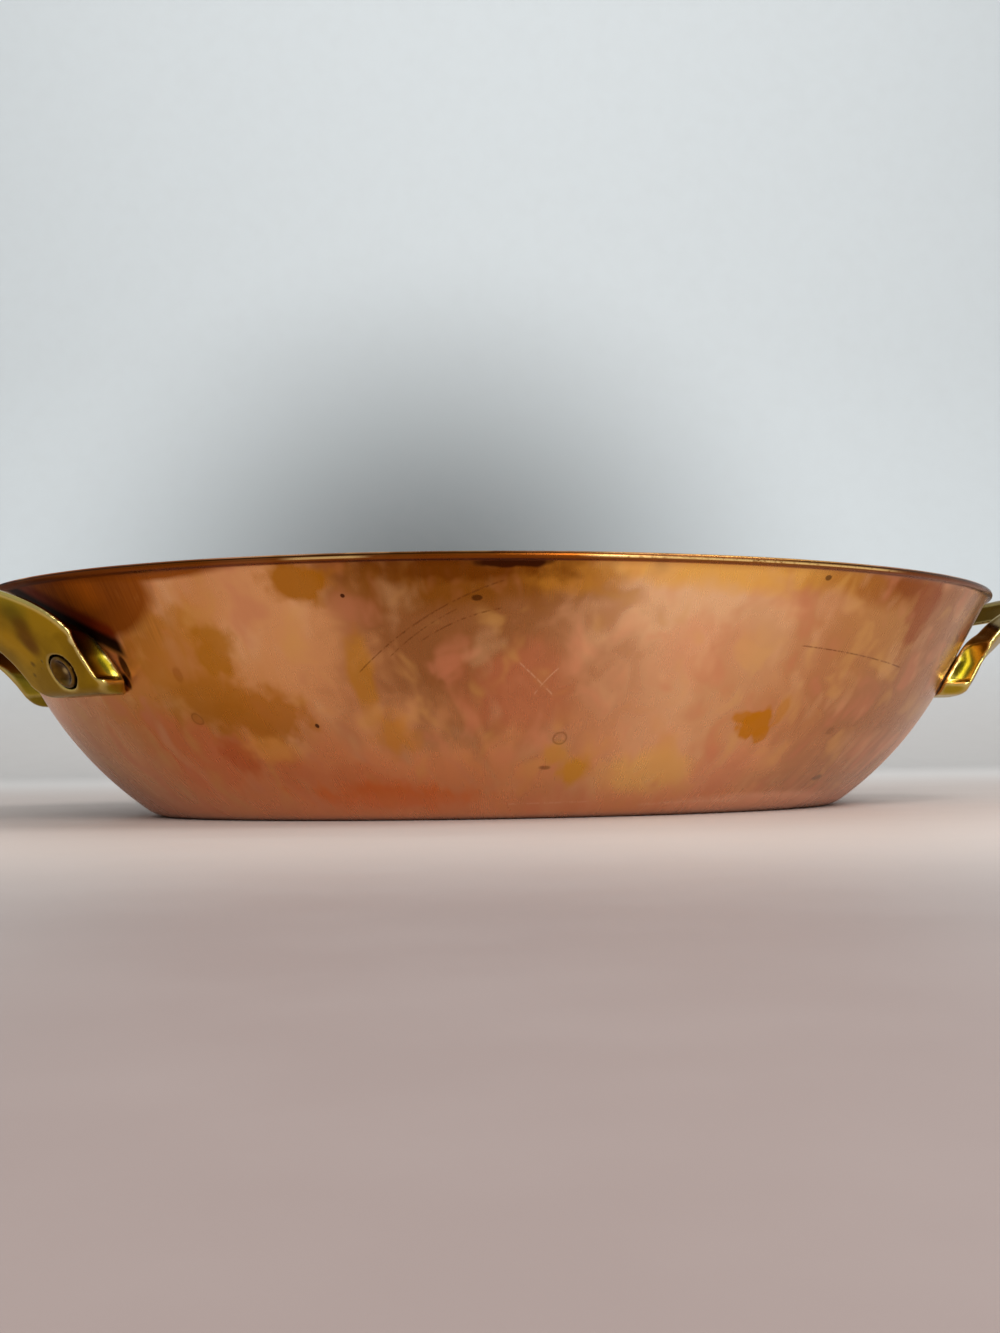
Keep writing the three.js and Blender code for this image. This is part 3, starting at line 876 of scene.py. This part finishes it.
def strap_section(outer, inner, side, foot_drop=0.0):
    width = np.linalg.norm(outer - inner)
    share = np.clip((outer[1] - FOOT) / (SHOULDER[1] - FOOT), 0, 1)
    lean = (1 - share) * tan(WALL_SLOPE)
    narrowing = BACK_NARROWING * share**BACK_CURVE / width
    pad = LUG_THICKNESS - SEAT_GAP - STRAP_THICKNESS / cos(BEND_ANGLE)
    edge = EDGE_ROUND / width
    turns = np.linspace(0, pi / 2, ROUND_STEPS + 1)[1:]
    face_ways = np.linspace(1 - edge, edge, FACE_STEPS)
    back_ways = np.linspace(narrowing + edge, 1 - narrowing - edge, FACE_STEPS)
    round_in = [(edge * (1 - sin(turn)), EDGE_ROUND * (1 - cos(turn))) for turn in turns]
    ways = [(way, 1, 0) for way in face_ways]
    ways += [(way, 1, drop) for way, drop in round_in]
    ways += [(narrowing + way, 0, drop) for way, drop in reversed(round_in)]
    ways += [(way, 0, 0) for way in back_ways]
    ways += [(1 - narrowing - way, 0, drop) for way, drop in round_in]
    ways += [(1 - way, 1, drop) for way, drop in reversed(round_in)]
    way, on_face, drop = np.array(ways).T
    spot = outer + way[:, None] * (inner - outer)
    rise = bend_rise(spot[:, 0], spot[:, 1])
    face = LUG_THICKNESS + rise - drop - foot_drop
    back = SEAT_GAP + rise + np.minimum(rise, pad) + drop
    out = np.where(on_face > 0, face, back)
    return on_wall(side * spot[:, 0], spot[:, 1] + out * lean, out)


def loft(name, rings):
    """A closed mesh through rings of equal length, with its two ends closed by fans."""
    rings = np.array(rings)
    count = rings.shape[1]
    points = list(rings.reshape(-1, 3))
    faces = []
    for low in range(0, len(points) - count, count):
        for step in range(count):
            after = (step + 1) % count
            faces.append((low + step, low + after, low + count + after, low + count + step))
    for start, end in ((0, rings[0]), (len(points) - count, rings[-1])):
        points.append(end.mean(axis=0))
        faces += [(len(points) - 1, start + step, start + (step + 1) % count) for step in range(count)]
    piece = mesh_object(name, points, faces)
    face_outward(piece.data)
    return piece


def half_strap(side):
    """Sections from a foot, whose front edge is rounded, up to the crown."""
    foot = []
    for turn in np.linspace(0, pi / 2, ROUND_STEPS + 1):
        share = FOOT_ROUND * (1 - cos(turn)) / LUG_CORNER
        outer = outer_edge[0] + share * (outer_edge[1] - outer_edge[0])
        inner = inner_edge[0] + share * (inner_edge[1] - inner_edge[0])
        foot.append(strap_section(outer, inner, side, FOOT_ROUND * (1 - sin(turn))))
    return foot + [strap_section(outer, inner, side) for outer, inner in zip(outer_edge[1:], inner_edge[1:])]


strap = loft("brass_handle_right", half_strap(1) + half_strap(-1)[-2::-1])
report(strap)

# %% [markdown]
# The hollow at each lug's outer end is a slanted round gouge that stops above the lug's toe. Its cutter is
# lofted from circles at three heights, wider apart at the toe than at the top. A short round cutter makes
# the pocket for the rivet's head.

# %% Hollows and rivet pockets
TOE_THICKNESS = 3 * MM
SCOOP_RADIUS = 5.4 * MM
SCOOP_LEVELS = [
    (14.2 * MM, TOE_THICKNESS / cos(WALL_SLOPE) - LUG_BELOW_RIVET, 4.6 * MM),
    (12.8 * MM, 0.0, 4.7 * MM),
    (7.3 * MM, ARM[1], -5.3 * MM),
]
HEAD_RADIUS = 3.55 * MM
POCKET_RADIUS = 3.85 * MM
POCKET_DEPTH = 1.3 * MM
CIRCLE_STEPS = 64
CIRCLE = np.linspace(0, tau, CIRCLE_STEPS, endpoint=False)


def hollow(side):
    rings = []
    for reach, up, middle in SCOOP_LEVELS:
        along = side * (LUG_SPREAD + reach) + SCOOP_RADIUS * np.sin(CIRCLE)
        out = middle + SCOOP_RADIUS * np.cos(CIRCLE)
        rings.append(on_wall(along, up + out * tan(WALL_SLOPE), out))
    return loft("hollow", rings)


def rivet_seat(side):
    """Where a rivet's axis meets the wall, and the way it points."""
    seat = on_wall(side * LUG_SPREAD, 0.0, 0.0)
    return seat, (on_wall(side * LUG_SPREAD, 0.0, MM) - seat) / MM


def pocket(side):
    seat, axis = rivet_seat(side)
    sideways = np.cross(axis, (0, 0, 1))
    sideways /= np.linalg.norm(sideways)
    upright = np.cross(sideways, axis)
    circle = POCKET_RADIUS * (np.cos(CIRCLE)[:, None] * sideways + np.sin(CIRCLE)[:, None] * upright)
    levels = (LUG_THICKNESS - POCKET_DEPTH, LUG_THICKNESS + POCKET_DEPTH)
    return loft("pocket", [seat + level * axis + circle for level in levels])


cutters = [make(side) for make in (hollow, pocket) for side in (1, -1)]
print("cutters:", [cutter.name for cutter in cutters])

# %% [markdown]
# Boolean modifiers take the cutters out of the strap, a voxel remesh turns the result into one even skin,
# and a Smooth modifier rounds its edges as polishing does. The rough skin is kept as well for the next
# step.

# %% Casting and polishing
VOXEL = 0.31 * MM
POLISH_STEPS = 20
POLISH_FACTOR = 0.5
for cutter in cutters:
    cut = strap.modifiers.new(cutter.name, "BOOLEAN")
    cut.operation = "DIFFERENCE"
    cut.solver = "EXACT"
    cut.object = cutter
remesh = strap.modifiers.new("casting", "REMESH")
remesh.mode = "VOXEL"
remesh.voxel_size = VOXEL
rough_cast = modified_mesh(strap)
polish = strap.modifiers.new("polish", "SMOOTH")
polish.factor = POLISH_FACTOR
polish.iterations = POLISH_STEPS
cast = modified_mesh(strap)
strap.modifiers.clear()
strap.data = cast
for cutter in cutters:
    bpy.data.objects.remove(cutter)
cast.materials.append(brass.material)
cast.shade_smooth()
report(strap)

# %% [markdown]
# Polishing takes metal off outer edges, and none from corners that a wheel can't reach. How far each point
# moved between the rough skin and the smooth one tells them apart, once it is averaged over neighbours to
# lose the steps of the voxels; the brass finish paints a highlight on the outer edges and shade in the inner
# corners from it. A second value says how squarely a point faces out of the wall, for the shade painted on
# the strap's sides and back. The mesh keeps both as attributes.

# %% Edges, corners and facing of the casting
FULL_ROUNDING = 0.11 * MM
ROUNDING_SPREAD = 9


def point_values(mesh, what):
    values = np.empty(3 * len(mesh.vertices))
    mesh.vertices.foreach_get(what, values)
    return values.reshape(-1, 3)


place = point_values(cast, "co")
normal = point_values(cast, "normal")
taken_off = np.sum((point_values(rough_cast, "co") - place) * normal, axis=1) / FULL_ROUNDING
sides = np.empty(2 * len(cast.edges), dtype=int)
cast.edges.foreach_get("vertices", sides)
start, end = sides.reshape(-1, 2).T
count = len(taken_off)
for _ in range(ROUNDING_SPREAD):
    total = np.bincount(start, taken_off[end], count) + np.bincount(end, taken_off[start], count)
    taken_off = 0.5 * taken_off + 0.5 * total / np.maximum(np.bincount(sides, minlength=count), 1)
end_way = place[:, :2] / (HALF_LENGTH**2, HALF_WIDTH**2)
end_way /= np.linalg.norm(end_way, axis=1, keepdims=True)
faces_end = np.sum(normal[:, :2] * end_way, axis=1)
faces_out = faces_end * cos(WALL_SLOPE) - normal[:, 2] * sin(WALL_SLOPE)
for label, values in (("edge", taken_off), ("outward", faces_out)):
    cast.attributes.new(label, "FLOAT", "POINT").data.foreach_set("value", values)
bpy.data.meshes.remove(rough_cast)
print(f"edge wear from {taken_off.min():.2f} to {taken_off.max():.2f}")

# %% [markdown]
# The left handle is the same casting turned half round. Its mesh is copied and turned, and its object stays
# at the origin, so that patterns which follow object coordinates stay put.

# %% The second handle
turned_cast = cast.copy()
turned_cast.transform(Matrix.Rotation(pi, 4, "Z"))
left_strap = new_object("brass_handle_left", turned_cast)
report(left_strap)

# %% [markdown]
# ## Rivets
# A rivet is a short turned rod: a low dome inside the pan, a shank, and a head hammered into the lug, with
# a shallow dish in its face. The same turned wall tree makes it from its profile.

# %% Rivet shape
SHANK_RADIUS = 2.6 * MM
HEAD_PROUD = 0.15 * MM
INNER_HEAD_RADIUS = 4.4 * MM
INNER_HEAD_HEIGHT = 1.5 * MM
DOME_POINTS = 9
RIVET_STEPS = 64
# The head's face, in millimetres: each step in from its radius, and the depth below its highest ring.
HEAD_FACE = [
    (0, 0.7), (0.06, 0.35), (0.25, 0.08), (0.55, 0), (0.85, 0.1),
    (1.2, 0.36), (1.7, 0.7), (2.3, 0.92), (2.9, 1.0),
]
DISH_DEPTH = 1.02 * MM
# The domes inside the pan count as this share of the radius, where the finish has its plain colour.
PLAIN_SHARE = 0.9


def rivet_profile():
    """Reach in from the head's radius as X, share to the axis as Y, height along the axis as Z."""
    top = LUG_THICKNESS + HEAD_PROUD
    bottom = -LINING_FACE
    pocket_floor = LUG_THICKNESS - POCKET_DEPTH
    outline = []
    for turn in np.linspace(0, pi / 2, DOME_POINTS):
        outline.append((INNER_HEAD_RADIUS * sin(turn), bottom - INNER_HEAD_HEIGHT * cos(turn)))
    outline += [(SHANK_RADIUS, bottom), (SHANK_RADIUS, pocket_floor), (HEAD_RADIUS, pocket_floor)]
    outline += [(HEAD_RADIUS - inward * MM, top - depth * MM) for inward, depth in HEAD_FACE]
    outline.append((0.0, top - DISH_DEPTH))
    return np.array([(HEAD_RADIUS - radius, 0.0, level) for radius, level in outline])


rivet = turn_piece("rivet", rivet_profile(), HEAD_RADIUS, HEAD_RADIUS, RIVET_STEPS, hammered.material)
rivet_points = point_values(rivet.data, "co")
from_axis = np.linalg.norm(rivet_points[:, :2], axis=1) / HEAD_RADIUS
from_axis[rivet_points[:, 2] < 0] = PLAIN_SHARE
rivet.data.attributes.new("from_axis", "FLOAT", "POINT").data.foreach_set("value", from_axis)

# %% [markdown]
# A second tree sets one rivet on each of the four seats, so that they all change together. Each seat is a
# point that stores which way its rivet points.

# %% Four rivets on their seats
def rivet_row_tree():
    bench, given = start_tree("rivet row", Rivet="Object")
    shape = bench.add("GeometryNodeObjectInfo", {"Object": given["Rivet"]})["Geometry"]
    axis = bench.add("GeometryNodeInputNamedAttribute", {"Name": "axis"}, data_type="FLOAT_VECTOR")
    turn = bench.add("FunctionNodeAlignRotationToVector", {"Vector": axis["Attribute"]}, axis="Z")
    row = bench.add("GeometryNodeInstanceOnPoints", {
        "Points": given["Geometry"], "Instance": shape, "Rotation": turn,
    })
    return end_tree(bench, row, given["Finish"])


seat_points, seat_axes = [], []
for end in (1, -1):
    half_turn = np.array((end, end, 1))
    for side in (1, -1):
        seat, axis = rivet_seat(side)
        seat_points.append(seat * half_turn)
        seat_axes.append(axis * half_turn)
rivets = mesh_object("handle_rivets", seat_points)
rivets.data.attributes.new("axis", "FLOAT_VECTOR", "POINT").data.foreach_set("vector", np.ravel(seat_axes))
run_tree(rivets, rivet_row_tree(), {"Rivet": rivet, "Finish": hammered.material})
bpy.data.objects.remove(rivet)
face_outward(rivets.data)
report(rivets)

# %% [markdown]
# ## The table and its light
# The pan stands on a pale satin sheet that curves up behind it, so no edge shows in the camera. The wall
# leans out over the sheet, so the copper mirrors the sheet just in front of it, and its tones are set for
# that too: painted shade in a band near the eye and a painted shaded oval behind the pan.

# %% Sheet of paper
SWEEP_NEAR, SWEEP_FAR, SWEEP_RADIUS, SWEEP_TOP, SWEEP_HALF = -1.6, 0.85, 0.45, 1.6, 1.8
SWEEP_POINTS = 25
# Distances in metres over which the tone changes: aside from the middle, towards the eye, away from it, up.
MARGIN_RUN, NEAR_RUN, FAR_RUN, RISE_RUN = (0.015, 0.06), (-0.13, -0.26), (0.12, 0.5), (0.0, 0.2)
# The shaded oval: its middle and its reach, aside and up, and the heights over which it begins.
SHADE_MIDDLE, SHADE_REACH, SHADE_RUN = (-0.074, 0.153), (0.48, 0.44), (0.02, 0.12)

sweep_line = [(SWEEP_NEAR, 0.0)]
for turn in np.linspace(0, pi / 2, SWEEP_POINTS):
    rise = SWEEP_RADIUS - SWEEP_RADIUS * cos(turn)
    sweep_line.append((SWEEP_FAR + SWEEP_RADIUS * sin(turn), rise))
sweep_line.append((SWEEP_FAR + SWEEP_RADIUS, SWEEP_TOP))
sheet_points = [
    level_right * side * SWEEP_HALF + level_ahead * depth + straight_up * height
    for depth, height in sweep_line for side in (-1, 1)
]
corners = range(0, 2 * len(sweep_line) - 2, 2)
sheet = mesh_object("paper_sheet", sheet_points, [(low, low + 1, low + 3, low + 2) for low in corners])
sheet.data.shade_smooth()

paper = Finish("pale_satin_paper", (150, 139, 133))
x, y, z = paper.split(paper.place)
across = x * level_right.x + y * level_right.y
depth = x * level_ahead.x + y * level_ahead.y
aside = (across - SHADE_MIDDLE[0]) / SHADE_REACH[0]
above = (z - SHADE_MIDDLE[1]) / SHADE_REACH[1]
oval = paper.step(paper.math("SQRT", aside * aside + above * above), 1, 0)
fibres = paper.noise(60, detail=5)
margins = paper.step(paper.math("ABSOLUTE", across), *MARGIN_RUN)
# Painted shade: the sheet is darker in a band near the eye, a little less at its sides.
near = paper.blend(margins, tone((107, 94, 90)), tone((114, 106, 103)))
paper.colour = paper.blend(paper.step(depth, *NEAR_RUN), paper.colour, near)
paper.paint(paper.step(depth, *FAR_RUN), (180, 176, 173))
paper.paint(paper.step(z, *RISE_RUN), (196, 201, 203))
paper.paint(oval * paper.step(z, *SHADE_RUN) * 0.95, (84, 86, 86))
paper.paint((fibres - 0.4) * 0.12, (160, 154, 150))
paper.done(0.5 + fibres * 0.1)
sheet.data.materials.append(paper.material)

# %% [markdown]
# A broad lamp in front lights the sheet that the copper mirrors. Most lamps are hidden from mirrors. Only
# the small window and the upright strip are seen in the metal, where they add bright spots on the lip and in
# the hollows of the lugs to the highlights painted there.

# %% Lamps and surroundings
PAN_MIDDLE = Vector((0, 0, 0.03))
# Each lamp round the pan: name, bearing, elevation, distance, watts, size, and whether the metal mirrors it.
LAMPS = [
    ("front", -104, 24, 1.0, 15, (1.0, 0.5), False),
    ("window", -48, 46, 0.9, 5.5, (0.35, 0.35), True),
    ("strip", -84, 21, 0.8, 3.2, (0.14, 0.6), True),
    ("overhead", -100, 80, 1.3, 4, (1.4, 1.4), False),
]
BACKDROP_LAMP = level_ahead * 0.55 + straight_up * 1.3
BACKDROP_SPOT = level_ahead * 1.25 + straight_up * 0.4
BACKDROP_POWER, BACKDROP_SIZE = 5.5, (1.6, 0.5)
ROOM_TINT, ROOM_STRENGTH = (0.86, 0.89, 0.9, 1), 0.55


def lamp(name, place, target, power, size, mirrored):
    light = bpy.data.lights.new(name, "AREA")
    light.energy = power
    light.shape = "RECTANGLE"
    light.size, light.size_y = size
    holder = new_object(name, light)
    way = (Vector(target) - Vector(place)).to_track_quat("-Z", "Y").to_matrix().to_4x4()
    holder.matrix_world = Matrix.Translation(place) @ way
    holder.visible_camera = False
    holder.visible_glossy = mirrored


def aim(turn, rise, distance):
    """A place at a bearing and elevation, in degrees, and a distance from the middle of the pan."""
    turn, rise = radians(turn), radians(rise)
    level = cos(rise)
    return Vector((cos(turn) * level, sin(turn) * level, sin(rise))) * distance


for name, turn, rise, distance, power, size, mirrored in LAMPS:
    lamp(name, PAN_MIDDLE + aim(turn, rise, distance), PAN_MIDDLE, power, size, mirrored)
lamp("backdrop", BACKDROP_LAMP, BACKDROP_SPOT, BACKDROP_POWER, BACKDROP_SIZE, False)

world = bpy.data.worlds.new("studio")
scene.world = world
world.use_nodes = True
room = world.node_tree.nodes["Background"]
room.inputs["Color"].default_value = ROOM_TINT
room.inputs["Strength"].default_value = ROOM_STRENGTH
print("lamps set")

# %% [markdown]
# ## Hand the pieces to the frame
# Each piece rides on the pan's one body and stands in for the solids it was drawn over.

# %% Fit the pieces to the frame
fittings = [
    (shell, "copper", ["pan_body"]),
    (lining, "tin", ["tin_lining"]),
    (strap, "brass", ["right_handle"]),
    (left_strap, "brass", ["left_handle"]),
    (rivets, "rivet_brass", [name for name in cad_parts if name.endswith("rivet")]),
]
for piece, slot, nodes in fittings:
    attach(piece, "root")
    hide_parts(*nodes)
    print(piece.name, "stands for", nodes)
